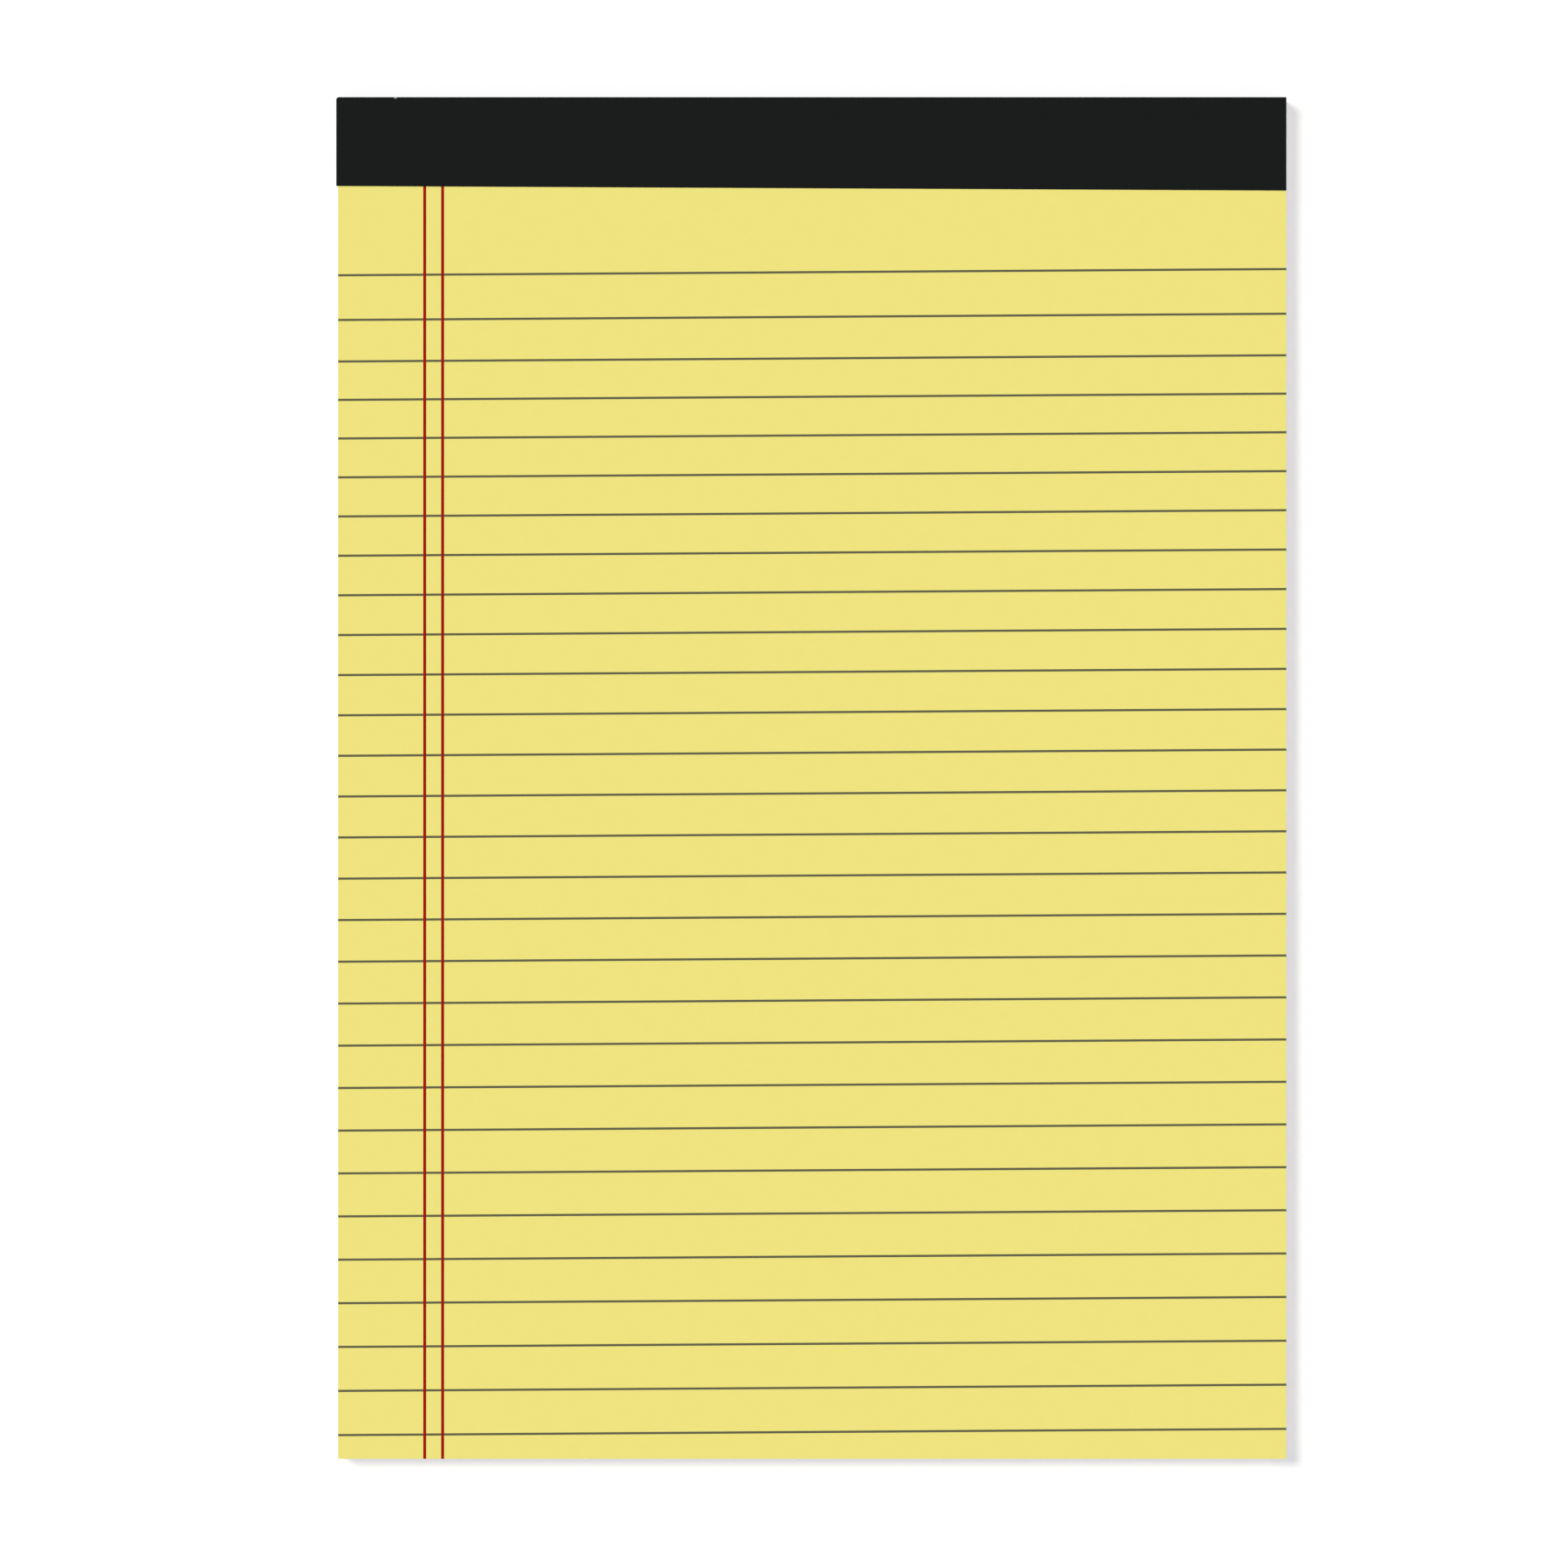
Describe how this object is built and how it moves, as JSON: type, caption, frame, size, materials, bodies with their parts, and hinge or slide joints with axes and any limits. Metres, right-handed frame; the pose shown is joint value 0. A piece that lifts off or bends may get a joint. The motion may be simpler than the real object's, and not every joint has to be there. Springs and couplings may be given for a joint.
{
  "type": "ruled notepad",
  "caption": "Yellow ruled writing pad with a red double margin line, a chipboard back and a black tape folded over its stapled head.",
  "frame": {"origin": "on the surface that the pad lies on, under the middle of its outline", "axes": "+Y towards the taped head, +Z out of the ruled face, +X to the right as the pad is read"},
  "size_m": [0.2084, 0.2988, 0.0062],
  "materials": {
    "yellow_paper": "uncoated yellow writing paper",
    "chipboard": "grey recycled board",
    "black_tape": "matte black binding tape",
    "staple_wire": "galvanised wire",
    "rule_ink": "printed grey-olive ink",
    "margin_ink": "printed dark red ink"
  },
  "bodies": {
    "root": {"sheets": "yellow_paper", "backing_board": "chipboard", "binding_tape": "black_tape", "staples": "staple_wire", "ruled_lines": "rule_ink", "margin_lines": "margin_ink"}
  },
  "joints": []
}
